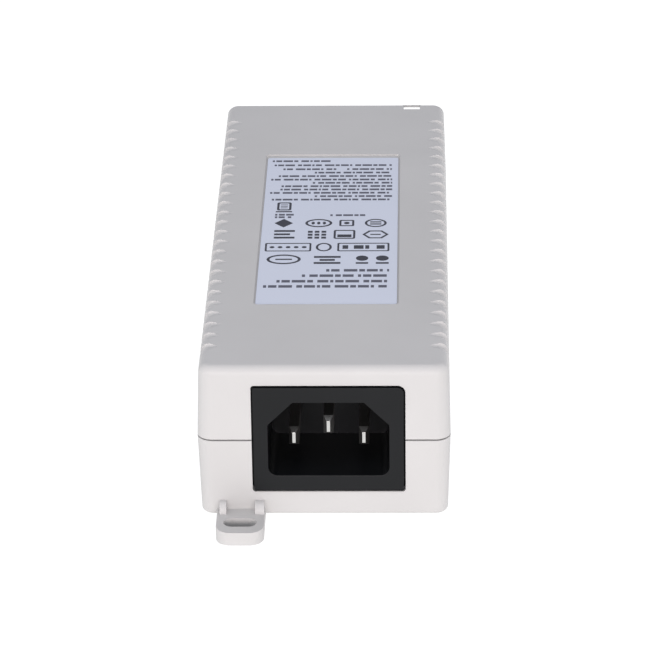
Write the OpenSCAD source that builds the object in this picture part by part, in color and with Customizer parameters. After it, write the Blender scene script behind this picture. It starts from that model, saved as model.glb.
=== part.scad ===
// Single-port power injector for network cable, taken apart into its real pieces.
// Origin: on the surface it rests on, under the middle of the case.
// +Z up, -Y towards the mains inlet, +Y towards the two network sockets.

/* [Case] */
// Width of the case at the seam, its widest line
body_w = 50.6; // [50.4:0.1:51.2]
// Length of the case without its ears
body_l = 137.2; // [136.8:0.1:139]
// Height of the case without its feet
body_h = 33; // [32.8:0.1:34]
// Height of the seam above the underside of the case
seam_h = 17.1; // [17:0.1:17.4]
// Height of the feet, from the surface to the underside of the case
foot_h = 1.5; // [1.3:0.1:1.6]
// Wall thickness of both covers
wall = 2; // [1.9:0.05:2.1]
// Outside radius of the four upright corners
corner_r = 3.1; // [2.6:0.1:3.3]
// Radius round the top edge
top_edge_r = 1.8; // [1.5:0.1:1.8]
// Radius round the bottom edge
bottom_edge_r = 0.9; // [0.3:0.1:1]
// How far each wall leans in between the seam and the outer face
lean = 0.5; // [0.3:0.05:0.6]
// Gap that shows between the two covers along the seam
seam_gap = 0.35; // [0.2:0.05:0.4]

/* [Grip grooves] */
// Number of grooves along each top edge
groove_n = 24; // [16:1:24]
// Distance from one groove to the next
groove_pitch = 5; // [4.8:0.1:5.1]
// Radius of the round cut that makes a groove
groove_r = 1.3; // [1:0.05:1.4]
// How far a groove reaches in from the side of the case
groove_reach = 4.1; // [3.5:0.1:4.3]
// Distance from the inlet end to the first groove
groove_start = 10.3; // [9.5:0.1:12]

/* [Label] */
// Width of the label on the top
label_w = 29; // [24:0.1:32]
// Length of the label on the top
label_l = 75.4; // [60:0.1:80]
// Thickness of the label
label_t = 0.2; // [0.15:0.05:0.3]
// Depth of the recess that the label sits in
label_recess = 0.35; // [0.3:0.05:0.5]

/* [Mounting ears] */
// Width of an ear
ear_w = 9.6; // [9.5:0.1:10.4]
// How far an ear stands out from the case
ear_reach = 9.6; // [9.2:0.1:10.5]
// Thickness of an ear
ear_t = 2.85; // [2.6:0.05:3]
// Distance from the middle of the case to the middle of an ear
ear_x = 16.8; // [16.4:0.05:17.1]
// Length of the screw slot in an ear, end to end
ear_slot_l = 6.7; // [6:0.1:7]
// Width of the screw slot in an ear
ear_slot_w = 3.5; // [3.2:0.1:3.6]
// Distance from the case to the middle of the screw slot
ear_slot_y = 5.2; // [5:0.1:5.4]

/* [Mains inlet] */
// Sideways offset of the inlet from the middle of the case
inlet_x = 0.95; // [0:0.05:1.2]
// Height of the inlet's middle above the resting surface
inlet_z = 18.7; // [18.6:0.05:18.9]
// Width of the inlet's face
inlet_w = 30; // [29.8:0.1:30.4]
// Height of the inlet's face
inlet_h = 23; // [22.8:0.1:23.4]
// Width of the socket in the inlet
inlet_cavity_w = 24.2; // [24:0.1:24.4]
// Height of the socket in the inlet
inlet_cavity_h = 16.3; // [16:0.1:16.5]
// Depth of the socket in the inlet
inlet_cavity_d = 18.4; // [17.5:0.1:18.6]

/* [Network sockets] */
// Distance from the middle of the case to the middle of each socket
jack_x = 10.5; // [10:0.1:10.6]
// Width of the opening for a plug
jack_cavity_w = 11.9; // [11.7:0.05:12]
// Height of the opening for a plug
jack_cavity_h = 6.9; // [6.7:0.05:7]
// Depth of the opening for a plug
jack_cavity_d = 12.6; // [12:0.1:13]
// Angle at which the spring contacts rise when no plug is in
contact_rise = 14; // [12:0.5:15]

/* [Circuit board] */
// Width of the board
board_w = 43; // [42.6:0.1:43.4]
// Length of the board
board_l = 129; // [128:0.1:130]
// Thickness of the board
board_t = 1.6; // [1.5:0.1:1.6]

/* [Hidden] */

$fn = 48;
eps = 0.01;

inner_corner_r = corner_r - wall + 0.9;
inner_edge_r = 0.6;
seam_z = foot_h + seam_h;
top_z = foot_h + body_h;
front_y = -body_l / 2;
rear_y = body_l / 2;
floor_z = foot_h + wall;

// Board and what stands on it
lead_r = 0.4;
sheet_t = 0.3;
board_z = floor_z + 2.7;
board_top = board_z + board_t;
board_y = 0.5;

// Cover screws: two behind the inlet, two behind the sockets
cover_screw_x = 20;
cover_screw_ys = [-60.5, 45];
screw_boss_r = 3.1;
screw_well_r = 3.9;
screw_head_r = 2.7;
screw_shank_r = 1.45;
screw_seat_z = foot_h + 7;
screw_end_z = seam_z + 8;

// Board screws
board_screw_x = 18.2;
board_screw_ys = [-38.5, 37.5];
standoff_r = 2.5;

// Grooves: how far in from the top and the side each one's arc is centred
groove_turn = 4.6;

// Label
label_y = -0.95;
label_gap = 0.4;
label_far_gap = 1.6;

// Feet
foot_r = 4.5;
foot_recess = 0.5;
foot_x = 17;
foot_ys = [-48, 57];

// Inlet
inlet_gap = 0.35;
inlet_corner_r = 1.2;
inlet_small_r = 0.25;
inlet_body_w = 27.6;
inlet_body_h = 19.8;
inlet_body_d = 22;
inlet_flange_y = wall + lean + 0.1;
inlet_flange_d = 1.5;
inlet_flange_over = 0.8;
cavity_z = inlet_z + 0.1;
pin_pitch = 14;
pin_w = 2;
pin_h = 4;
pin_z = cavity_z - 1.5;
earth_z = pin_z + 3.9;
pin_tip = 3.6;
earth_tip = 0.9;

// Network sockets
jack_w = 16;
jack_h = 13.4;
jack_l = 18;
jack_skin = 0.35;
jack_gap = 0.3;
jack_face_y = rear_y - 0.3;
jack_z = board_top;
jack_floor_z = jack_z + 2.9;
latch_w = 6.2;
latch_h = 1.6;
latch_tip_w = 3.6;
latch_tip_h = 1.3;
contact_n = 8;
contact_pitch = 1.02;
contact_r = 0.23;
contact_l = 8.6;
bend_r = 0.32;
bend_w = 0.6;
contact_root_y = jack_face_y - 2.6;
contact_root_z = jack_floor_z - 0.35;
trench_w = 8.4;
trench_d = 1;

// Light pipes over the sockets
pipe_r = 1.3;
pipe_z = jack_z + jack_h + 3.2;
pipe_y = 47.3;
led_h = 1.6;

// Tie slot in the top cover, over the right-hand socket
tie_x = 17.45;
tie_w = 3.7;
tie_near = 4.2;
tie_far = 2;
tie_drop = 3.4;
tie_bar_h = 0.4;
tie_slope = 0.45;
tie_rib_l = 0.6;
tie_rib_over = 0.2;
tie_rib_drop = 0.15;
tie_box_wall = 1;

// Half outline of a cover: out along the seam, up the leaning wall, over the rounded edge
function wall_outline(reach, h, lean_in, r, steps = 10) = concat(
    [[0, 0], [reach, 0]],
    [for (i = [0:steps]) let (a = 90 * i / steps)
        [reach - lean_in - r * (1 - cos(a)), h - r + r * sin(a)]],
    [[0, h]]);

// The same outline on both sides of its middle line
function both_sides(half) = concat(
    [for (i = [1:len(half) - 2]) half[i]],
    [for (i = [len(half) - 2:-1:1]) [-half[i][0], half[i][1]]]);

// A cover's solid form, standing on the plane z = 0: leaning walls and a rounded upper edge
module cover_form(w, l, r, h, lean_in, edge_r) {
    rotate([90, 0, 0]) linear_extrude(l - 2 * r, center = true)
        polygon(both_sides(wall_outline(w / 2, h, lean_in, edge_r)));
    rotate([90, 0, 90]) linear_extrude(w - 2 * r, center = true)
        polygon(both_sides(wall_outline(l / 2, h, lean_in, edge_r)));
    for (sx = [-1, 1], sy = [-1, 1])
        translate([sx * (w / 2 - r), sy * (l / 2 - r), 0])
            rotate_extrude() polygon(wall_outline(r, h, lean_in, edge_r));
}

module block(x0, x1, y0, y1, z0, z1) {
    translate([x0, y0, z0]) cube([x1 - x0, y1 - y0, z1 - z0]);
}

module rod(x, y, z0, z1, r) {
    translate([x, y, z0]) cylinder(r = r, h = z1 - z0);
}

module rounded_plate(w, l, t, r) {
    linear_extrude(t) {
        square([w - 2 * r, l], center = true);
        square([w, l - 2 * r], center = true);
        for (sx = [-1, 1], sy = [-1, 1]) translate([sx * (w / 2 - r), sy * (l / 2 - r)]) circle(r);
    }
}

module at_cover_screws() {
    for (sx = [-1, 1], y = cover_screw_ys) translate([sx * cover_screw_x, y, 0]) children();
}

module at_board_screws() {
    for (sx = [-1, 1], y = board_screw_ys) translate([sx * board_screw_x, y, 0]) children();
}

// Outline of the inlet's face and of its window, with one corner rounder than the rest
module inlet_face_outline(w, h, grow = 0) {
    difference() {
        square([w, h], center = true);
        for (c = [[1, 1, inlet_corner_r], [-1, 1, inlet_small_r], [-1, -1, inlet_small_r],
            [1, -1, inlet_small_r]]) let (r = c[2] + grow)
            translate([c[0] * (w / 2 - r), c[1] * (h / 2 - r)]) difference() {
                translate([c[0] * (r + 1) / 2, c[1] * (r + 1) / 2]) square(r + 1, center = true);
                circle(r);
            }
    }
}

// Windows cut through both covers
module end_windows() {
    cut = wall + 1;
    translate([inlet_x, front_y + cut, inlet_z]) rotate([90, 0, 0]) linear_extrude(2 * cut)
        inlet_face_outline(inlet_w + 2 * inlet_gap, inlet_h + 2 * inlet_gap, inlet_gap);
    for (sx = [-1, 1])
        block(sx * jack_x - jack_w / 2 - jack_gap, sx * jack_x + jack_w / 2 + jack_gap,
            rear_y - cut, rear_y + 1, jack_z - jack_gap, jack_z + jack_h + jack_gap);
}

// One groove across the right-hand top edge, at y = 0: its floor is an arc from the top to the side
module grip_groove() {
    floor_r = sqrt(pow(groove_turn, 2) + pow(groove_turn - groove_reach, 2));
    side_x = body_w / 2 - lean + lean * groove_turn / (top_z - seam_z);
    translate([side_x - groove_turn, 0, top_z - groove_turn]) rotate([90, 0, 0])
        rotate_extrude(angle = 90) translate([floor_r + groove_r, 0]) circle(groove_r);
}

module top_cover() {
    h = top_z - seam_z;
    rebate = 1;
    rebate_up = 1.6;
    color([0.86, 0.855, 0.85]) difference() {
        union() {
            difference() {
                translate([0, 0, seam_z]) cover_form(body_w, body_l, corner_r, h, lean, top_edge_r);
                translate([0, 0, seam_z - eps])
                    cover_form(body_w - 2 * wall, body_l - 2 * wall, inner_corner_r, h - wall, lean,
                        inner_edge_r);
                // The rebate that takes the bottom cover's lip
                translate([0, 0, seam_z - 1])
                    rounded_plate(body_w - 2 * wall + 2 * rebate, body_l - 2 * wall + 2 * rebate,
                        1 + rebate_up, corner_r - wall + rebate);
                // The open seam line
                block(-body_w, body_w, -body_l, body_l, seam_z - 1, seam_z + seam_gap / 2);
            }
            at_cover_screws() translate([0, 0, seam_z]) cylinder(r = screw_boss_r, h = h - wall + eps);
            // The box round the tie slot, inside the cover
            block(tie_x - tie_w / 2 - tie_box_wall, tie_x + tie_w / 2 + tie_box_wall,
                rear_y - tie_near - tie_box_wall, rear_y - wall / 2,
                top_z - tie_drop - tie_box_wall, top_z - wall / 2);
            // The rib along the bar of the tie slot
            block(tie_x - tie_w / 2 - tie_rib_over, tie_x + tie_w / 2 + tie_rib_over,
                rear_y - tie_far - eps, rear_y - tie_far + tie_rib_l, top_z - 1,
                top_z - tie_rib_drop);
        }
        at_cover_screws() translate([0, 0, seam_z - 1])
            cylinder(r = screw_shank_r + 0.05, h = screw_end_z - seam_z + 2);
        // Grooves
        for (i = [0:groove_n - 1], side = [0, 1])
            mirror([side, 0, 0]) translate([0, front_y + groove_start + i * groove_pitch, 0])
                grip_groove();
        // Label recess, which runs on past the far end of the label
        translate([0, label_y + (label_far_gap - label_gap) / 2, top_z - label_recess])
            rounded_plate(label_w + 2 * label_gap, label_l + label_gap + label_far_gap, 1, 1);
        // Tie slot: down through the top and out through the end wall, under a thin bar
        translate([tie_x - tie_w / 2, rear_y, top_z]) rotate([90, 0, 90]) linear_extrude(tie_w)
            polygon([[-tie_near, 1], [-tie_near, -tie_drop], [1, -tie_drop],
                [1, -tie_bar_h - tie_slope * (1 + tie_far)], [-tie_far, -tie_bar_h], [-tie_far, 1]]);
        // Holes for the light pipes
        for (sx = [-1, 1]) translate([sx * jack_x, rear_y - wall - 1, pipe_z]) rotate([-90, 0, 0])
            cylinder(r = pipe_r + 0.1, h = wall + 3);
        end_windows();
    }
}

// One mounting ear at the inlet end, with a narrow gusset and a wide one, both rounded over
module ear() {
    under = 5;
    ear_r = 3;
    gusset_h = 2.1;
    gusset_reach = 1.9;
    gusset_spans = [[-4.25, -2.9], [2.85, 4.7]];
    difference() {
        union() {
            block(-ear_w / 2, ear_w / 2, -ear_reach + ear_r, under, 0, ear_t);
            block(-ear_w / 2 + ear_r, ear_w / 2 - ear_r, -ear_reach, 0, 0, ear_t);
            for (sx = [-1, 1]) rod(sx * (ear_w / 2 - ear_r), -ear_reach + ear_r, 0, ear_t, ear_r);
            for (g = gusset_spans)
                translate([g[0], 0, ear_t]) rotate([90, 0, 90]) linear_extrude(g[1] - g[0])
                    polygon(concat([[lean, -eps], [lean, gusset_h]],
                        [for (a = [90:-9:0]) [-gusset_reach * cos(a), gusset_h * sin(a)]],
                        [[-gusset_reach, -eps]]));
        }
        for (sx = [-1, 1])
            rod(sx * (ear_slot_l - ear_slot_w) / 2, -ear_slot_y, -1, ear_t + 1, ear_slot_w / 2);
        block(-(ear_slot_l - ear_slot_w) / 2, (ear_slot_l - ear_slot_w) / 2,
            -ear_slot_y - ear_slot_w / 2, -ear_slot_y + ear_slot_w / 2, -1, ear_t + 1);
    }
}

module bottom_cover() {
    lip = 0.9;
    lip_up = 1.4;
    rib_t = 1.2;
    color([0.86, 0.855, 0.85]) difference() {
        union() {
            difference() {
                union() {
                    translate([0, 0, seam_z]) mirror([0, 0, 1])
                        cover_form(body_w, body_l, corner_r, seam_h, lean, bottom_edge_r);
                    // Lip that locates the top cover
                    translate([0, 0, seam_z - 1])
                        rounded_plate(body_w - 2 * wall + 2 * lip, body_l - 2 * wall + 2 * lip,
                            1 + lip_up, corner_r - wall + lip);
                }
                translate([0, 0, seam_z + 2]) mirror([0, 0, 1])
                    cover_form(body_w - 2 * wall - 0.1, body_l - 2 * wall - 0.1, inner_corner_r,
                        seam_h - wall + 2, lean, inner_edge_r);
                // The open seam line, outside the lip
                difference() {
                    block(-body_w, body_w, -body_l, body_l, seam_z - seam_gap / 2, seam_z);
                    translate([0, 0, seam_z - 1])
                        rounded_plate(body_w - 2 * wall + 2 * lip, body_l - 2 * wall + 2 * lip, 2,
                            corner_r - wall + lip);
                }
            }
            at_cover_screws() translate([0, 0, floor_z - 1])
                cylinder(r = screw_well_r, h = seam_z - floor_z + 1);
            at_board_screws() translate([0, 0, floor_z - 1])
                cylinder(r = standoff_r, h = board_z - floor_z + 1);
            translate([-ear_x, front_y, 0]) ear();
            translate([ear_x, rear_y, 0]) rotate([0, 0, 180]) ear();
            // Cross ribs that stiffen the floor
            for (y = [-20, 0, 20])
                block(-body_w / 2 + wall, body_w / 2 - wall, y - rib_t / 2, y + rib_t / 2,
                    floor_z - 1, floor_z + 1.2);
        }
        at_cover_screws() {
            rod(0, 0, -1, screw_seat_z, screw_head_r + 0.3);
            rod(0, 0, 0, seam_z + 1, screw_shank_r + 0.2);
        }
        at_board_screws() translate([0, 0, floor_z - 0.5]) cylinder(r = 1, h = 10);
        for (sx = [-1, 1], y = foot_ys)
            rod(sx * foot_x, y, foot_h - 1, foot_h + foot_recess, foot_r + 0.1);
        end_windows();
    }
}

module rubber_feet() {
    bevel = 0.4;
    top = foot_h + foot_recess;
    color([0.12, 0.12, 0.12]) for (sx = [-1, 1], y = foot_ys)
        translate([sx * foot_x, y, 0]) rotate_extrude()
            polygon([[0, 0], [foot_r - bevel, 0], [foot_r, bevel], [foot_r, top], [0, top]]);
}

module rating_label() {
    color([0.78, 0.8, 0.86]) translate([0, label_y, top_z - label_recess])
        rounded_plate(label_w, label_l, label_t, 0.6);
}

module cover_screws() {
    head_h = 2;
    color([0.55, 0.55, 0.57]) at_cover_screws() difference() {
        union() {
            rod(0, 0, screw_seat_z - head_h, screw_seat_z, screw_head_r);
            rod(0, 0, screw_seat_z - eps, screw_end_z, screw_shank_r);
        }
        // Cross recess
        for (a = [0, 90]) rotate([0, 0, a])
            translate([0, 0, screw_seat_z - head_h]) cube([3, 0.7, 2], center = true);
    }
}

// Outline of the socket in the inlet: two cut corners above, two round ones below
module inlet_outline(w, h) {
    cut = 5;
    r = 1.9;
    difference() {
        polygon([[-w / 2, -h / 2], [w / 2, -h / 2], [w / 2, h / 2 - cut], [w / 2 - cut, h / 2],
            [-w / 2 + cut, h / 2], [-w / 2, h / 2 - cut]]);
        for (sx = [-1, 1]) translate([sx * (w / 2 - r), -h / 2 + r]) difference() {
            translate([sx * r / 2 + sx * 0.5, -r / 2 - 0.5]) square(r + 1, center = true);
            circle(r);
        }
    }
}

module inlet_housing() {
    face_r = 0.4;
    color([0.13, 0.13, 0.14]) translate([inlet_x, front_y, inlet_z]) difference() {
        union() {
            // Face, as thick as the wall
            translate([0, inlet_flange_y, 0]) rotate([90, 0, 0]) linear_extrude(inlet_flange_y)
                inlet_face_outline(inlet_w, inlet_h);
            // Flange behind the wall
            translate([0, inlet_flange_y, 0]) rotate([-90, 0, 0])
                rounded_plate(inlet_w + 2 * inlet_flange_over, inlet_h + 2 * inlet_flange_over,
                    inlet_flange_d, face_r);
            translate([-inlet_body_w / 2, wall, -inlet_body_h / 2])
                cube([inlet_body_w, inlet_body_d - wall, inlet_body_h]);
        }
        translate([0, -1, cavity_z - inlet_z]) rotate([-90, 0, 0]) mirror([0, 1, 0])
            linear_extrude(inlet_cavity_d + 1) inlet_outline(inlet_cavity_w, inlet_cavity_h);
        // Slots for the three pins
        for (p = [[-pin_pitch / 2, pin_z], [pin_pitch / 2, pin_z], [0, earth_z]])
            translate([p[0] - pin_w / 2, inlet_cavity_d - 1, p[1] - inlet_z - pin_h / 2])
                cube([pin_w, inlet_body_d, pin_h]);
    }
}

// A flat pin with a narrowed tip, and a tail that turns down to the board
module inlet_pin(x, z, tip) {
    taper = 1.2;
    tip_w = 0.65;
    tip_h = 2.3;
    tail_y = inlet_body_d + 2;
    color([0.8, 0.79, 0.76]) translate([inlet_x + x, front_y, 0]) {
        intersection() {
            linear_extrude(top_z) polygon([[-tip_w / 2, tip], [tip_w / 2, tip], [pin_w / 2, tip + taper],
                [pin_w / 2, tail_y], [-pin_w / 2, tail_y], [-pin_w / 2, tip + taper]]);
            translate([-pin_w, 0, z]) rotate([90, 0, 90]) linear_extrude(2 * pin_w)
                polygon([[tip, -tip_h / 2], [tip + taper, -pin_h / 2], [tail_y, -pin_h / 2],
                    [tail_y, pin_h / 2], [tip + taper, pin_h / 2], [tip, tip_h / 2]]);
        }
        block(-pin_w / 2, pin_w / 2, tail_y - 0.8, tail_y, board_top, z);
    }
}

module inlet_line_pin() inlet_pin(-pin_pitch / 2, pin_z, pin_tip);
module inlet_neutral_pin() inlet_pin(pin_pitch / 2, pin_z, pin_tip);
module inlet_earth_pin() inlet_pin(0, earth_z, earth_tip);

module circuit_board() {
    color([0.1, 0.32, 0.18]) difference() {
        translate([0, board_y, board_z]) rounded_plate(board_w, board_l, board_t, 1);
        at_cover_screws() translate([0, 0, board_z - 1]) cylinder(r = screw_well_r + 0.4, h = 4);
        at_board_screws() translate([0, 0, board_z - 1]) cylinder(r = 1.4, h = 4);
    }
}

module insulation_sheet() {
    half_w = 15.2;
    color([0.9, 0.88, 0.75])
        block(-half_w, half_w, -board_l / 2 + 4, board_l / 2 - 3, board_z - sheet_t, board_z);
}

module board_screws() {
    color([0.7, 0.7, 0.72]) at_board_screws() difference() {
        union() {
            rod(0, 0, board_top, board_top + 1.6, 2.3);
            rod(0, 0, floor_z, board_top + eps, 0.95);
        }
        for (a = [0, 90]) rotate([0, 0, a])
            translate([0, 0, board_top + 1.6]) cube([2.6, 0.5, 1.4], center = true);
    }
}

fuse_x = -17.6;
fuse_y = -47.5;
fuse_r = 1.9;
fuse_l = 10;
fuse_cap = 2.4;

module mains_fuse() {
    color([0.85, 0.83, 0.76]) translate([fuse_x, fuse_y, board_top + fuse_r + 0.6]) rotate([90, 0, 0])
        cylinder(r = fuse_r - 0.25, h = fuse_l - 2 * fuse_cap, center = true);
}

module fuse_caps() {
    color([0.75, 0.75, 0.76]) for (s = [-1, 1])
        translate([fuse_x, fuse_y + s * (fuse_l - fuse_cap) / 2, 0]) {
            translate([0, 0, board_top + fuse_r + 0.6]) rotate([90, 0, 0])
                cylinder(r = fuse_r, h = fuse_cap, center = true);
            rod(0, 0, board_top, board_top + fuse_r, lead_r);
        }
}

module surge_varistor() {
    disc_r = 5;
    disc_t = 4;
    place = [18.2, -47.5, board_top];
    lead = [0.9, 2.5];
    color([0.16, 0.3, 0.6]) translate(place) {
        translate([0, 0, disc_r + 1.5]) rotate([0, 90, 0])
            cylinder(r = disc_r, h = disc_t, center = true);
        for (s = [-1, 1]) rod(s * lead[0], s * lead[1], 0, 4, lead_r);
    }
}

choke_x = -10.5;
choke_y = -35;
choke_ring_r = 7;
choke_hole_r = 3.6;
choke_ring_t = 6;
choke_wire = 0.9;
choke_z = board_top + 0.5 + choke_ring_r + choke_wire;

module filter_choke_core() {
    color([0.2, 0.2, 0.22]) translate([choke_x, choke_y, choke_z]) rotate([90, 0, 0])
        rotate_extrude() translate([choke_hole_r, -choke_ring_t / 2])
            square([choke_ring_r - choke_hole_r, choke_ring_t]);
}

module filter_choke_winding() {
    gap_half = 1.6;
    color([0.72, 0.4, 0.16]) translate([choke_x, choke_y, choke_z]) rotate([90, 0, 0]) difference() {
        cylinder(r = choke_ring_r + choke_wire, h = choke_ring_t + 2 * choke_wire, center = true);
        cylinder(r = choke_hole_r - choke_wire, h = 20, center = true);
        rotate_extrude() translate([choke_hole_r, -choke_ring_t / 2])
            square([choke_ring_r - choke_hole_r, choke_ring_t]);
        cube([2 * gap_half, 30, 20], center = true);
    }
}

// The moulded saddle that holds the choke upright
module filter_choke_base() {
    base_h = 3;
    half_w = 5;
    half_l = 4.5;
    color([0.1, 0.1, 0.1]) difference() {
        block(choke_x - half_w, choke_x + half_w, choke_y - half_l, choke_y + half_l,
            board_top, board_top + base_h);
        translate([choke_x, choke_y, choke_z]) rotate([90, 0, 0])
            cylinder(r = choke_ring_r + choke_wire + 0.05, h = 20, center = true);
    }
}

module mains_capacitor() {
    box_w = 16.5;
    box_h = 14.5;
    box_l = 8;
    place = [7, -34.2, board_top + box_h / 2];
    color([0.85, 0.68, 0.12]) translate(place)
        rotate([90, 0, 0]) rounded_plate(box_w, box_h, box_l, 0.8);
}

module bridge_rectifier() {
    x0 = -19.5;
    x1 = -5;
    y0 = -26.4;
    y1 = -22.9;
    lead_pitch = 3.8;
    color([0.12, 0.12, 0.13]) {
        block(x0, x1, y0, y1, board_top + 2.5, board_top + 13.5);
        for (i = [0:3])
            rod(x0 + 1.6 + lead_pitch * i, (y0 + y1) / 2, board_top, board_top + 3, lead_r);
    }
}

module bulk_capacitor() {
    can_r = 9;
    can_h = 21.5;
    place = [9.5, -22.5, board_top];
    color([0.1, 0.12, 0.2]) translate(place) rotate_extrude()
        polygon([[0, 0], [can_r - 0.6, 0], [can_r, 0.6], [can_r, 1.6], [can_r - 0.5, 2.1],
            [can_r, 2.6], [can_r, can_h - 0.8], [can_r - 0.8, can_h], [can_r - 1.4, can_h],
            [can_r - 1.4, can_h - 0.3], [0, can_h - 0.3]]);
}

heatsink_t = 1.6;

// A flat plate of aluminium with fins, standing on two pegs
module heatsink(x, side, y0, y1, h) {
    fin_t = 0.9;
    fin_reach = 1.4;
    fin_pitch = 4;
    peg_h = 0.8;
    color([0.72, 0.73, 0.74]) {
        block(min(x, x - side * heatsink_t), max(x, x - side * heatsink_t), y0, y1,
            board_top + peg_h, board_top + h);
        for (y = [y0 + 1 : fin_pitch : y1 - 1])
            block(x - (side < 0 ? fin_reach : eps), x + (side < 0 ? eps : fin_reach), y, y + fin_t,
                board_top + peg_h, board_top + h);
        for (y = [y0 + 3, y1 - 3])
            rod(x - side * heatsink_t / 2, y, board_top, board_top + peg_h + 0.2, 0.7);
    }
}

// A transistor or diode with a metal tab, standing upright against a heatsink
module tab_package(x, side, y) {
    body_t = 4.5;
    tab_t = 1.3;
    half_w = 5;
    body_z0 = board_top + 3.5;
    body_z1 = board_top + 12.5;
    tab_z1 = board_top + 18;
    lead_pitch = 2.54;
    back = x - side * heatsink_t;
    color([0.1, 0.1, 0.11]) {
        block(min(back, back - side * body_t), max(back, back - side * body_t),
            y - half_w, y + half_w, body_z0, body_z1);
        block(min(back, back - side * tab_t), max(back, back - side * tab_t),
            y - half_w, y + half_w, body_z1 - eps, tab_z1);
        for (i = [-1:1])
            rod(back - side * body_t / 2, y + lead_pitch * i, board_top, body_z0 + 0.5, lead_r);
    }
}

module primary_heatsink() heatsink(-20, -1, -19.5, 3.5, 20);
module switching_transistor() tab_package(-20, -1, -7);
module output_heatsink() heatsink(20, 1, 14.5, 33.5, 19);
module output_diode() tab_package(20, 1, 22);

core_x = 1;
core_y = 2.5;
core_w = 25;
core_d = 20;
core_h = 18.6;
leg_w = 7;
yoke_h = 3.2;
core_t = 7.5;

module transformer_core() {
    color([0.23, 0.23, 0.25]) translate([core_x, core_y, board_top + 1.6]) {
        for (s = [-1, 1]) translate([s * (core_w - yoke_h) / 2, 0, core_h / 2])
            cube([yoke_h, core_t, core_h], center = true);
        for (z = [yoke_h / 2, core_h - yoke_h / 2]) translate([0, 0, z])
            cube([core_w, core_t, yoke_h], center = true);
        translate([0, 0, core_h / 2]) cube([leg_w, core_t, core_h], center = true);
    }
}

module transformer_winding() {
    slack = 0.1;
    window_h = core_h - 2 * yoke_h;
    color([0.82, 0.66, 0.2]) translate([core_x, core_y, board_top + 1.6]) difference() {
        union() {
            translate([0, 0, core_h / 2]) cube([core_w - 6.8, core_d - 2, window_h - 0.4], center = true);
            for (s = [-1, 1]) translate([0, s * (core_d / 2 - 2.6), 1.1])
                cube([core_w - 3, 5.2, 5.4], center = true);
        }
        cube([core_w + 2, core_t + 2 * slack, 2 * (yoke_h + slack)], center = true);
        translate([0, 0, core_h / 2]) cube([leg_w + 2 * slack, core_t + 2 * slack, core_h], center = true);
    }
}

// A small chip with legs on two sides
module chip(x, y, w, l, t, legs, lift = 0.3) {
    pitch = l / legs;
    leg = 0.4;
    leg_t = 0.2;
    bend = 0.6;
    foot = 0.7;
    waist = lift + t / 2;
    color([0.1, 0.1, 0.11]) block(x - w / 2, x + w / 2, y - l / 2, y + l / 2,
        board_top + lift, board_top + lift + t);
    color([0.75, 0.75, 0.77]) for (s = [0, 1], i = [0:legs - 1])
        translate([x, y + (i - (legs - 1) / 2) * pitch, board_top]) mirror([s, 0, 0])
            translate([w / 2, -leg / 2, 0]) {
                translate([-0.1, 0, waist - leg_t / 2]) cube([bend + 0.1, leg, leg_t]);
                translate([bend - leg_t, 0, 0]) cube([leg_t, leg, waist + leg_t / 2]);
                translate([bend - leg_t, 0, 0]) cube([foot, leg, leg_t]);
            }
}

module control_chip() chip(-16.5, 9, 3.9, 4.9, 1.4, 4);
module optocoupler() chip(-16.5, 17.5, 6.4, 4.6, 3.4, 2);
module power_controller() chip(5.5, 33.8, 7, 7, 1.2, 8);
module data_transformer() chip(0, 43.6, 7.4, 12.6, 4.6, 8, 0.4);

module safety_capacitor() {
    color([0.16, 0.34, 0.62]) translate([-16.5, 27, board_top]) {
        translate([0, 0, 5.5]) rotate([90, 0, 0]) cylinder(r = 4, h = 3.4, center = true);
        for (s = [-1, 1]) rod(s * 2.5, 0, 0, 4, 0.35);
    }
}

module output_capacitors() {
    can_r = 5;
    can_h = 16;
    color([0.12, 0.13, 0.22]) for (x = [-5.8, 5.8])
        translate([x, 22, board_top]) rotate_extrude()
            polygon([[0, 0], [can_r - 0.5, 0], [can_r, 0.5], [can_r, 1.4], [can_r - 0.35, 1.8],
                [can_r, 2.2], [can_r, can_h - 0.6], [can_r - 0.6, can_h], [can_r - 1, can_h],
                [can_r - 1, can_h - 0.2], [0, can_h - 0.2]]);
}

module output_choke() {
    color([0.18, 0.18, 0.2]) translate([-7, 33.8, board_top]) rotate_extrude()
        polygon([[0, 0], [4.4, 0], [4.4, 1.6], [3.4, 1.6], [3.4, 7.4], [4.4, 7.4], [4.4, 9], [0, 9]]);
}

// A row of small surface parts along the board
module small_row(x, y, w, l, pitch, n) {
    for (i = [0:n - 1]) translate([x, y + pitch * i, board_top]) cube([w, l, 0.6]);
}

module surface_resistors() {
    color([0.15, 0.15, 0.16]) {
        small_row(-1.5, 28.6, 2.1, 1.3, 2.2, 4);
        small_row(12.4, -9, 2, 1.3, 2.4, 4);
        small_row(10.8, 37.5, 1.2, 2, 2.6, 3);
    }
}

// The opening that a plug goes into, seen from its mouth, with the latch channel above
module jack_opening(d) {
    translate([0, jack_face_y - d, jack_floor_z]) {
        translate([-jack_cavity_w / 2, 0, 0]) cube([jack_cavity_w, d + 1, jack_cavity_h]);
        translate([-latch_w / 2, 0, 0]) cube([latch_w, d + 1, jack_cavity_h + latch_h]);
        translate([-latch_tip_w / 2, 0, 0])
            cube([latch_tip_w, d + 1, jack_cavity_h + latch_h + latch_tip_h]);
    }
}

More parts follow.
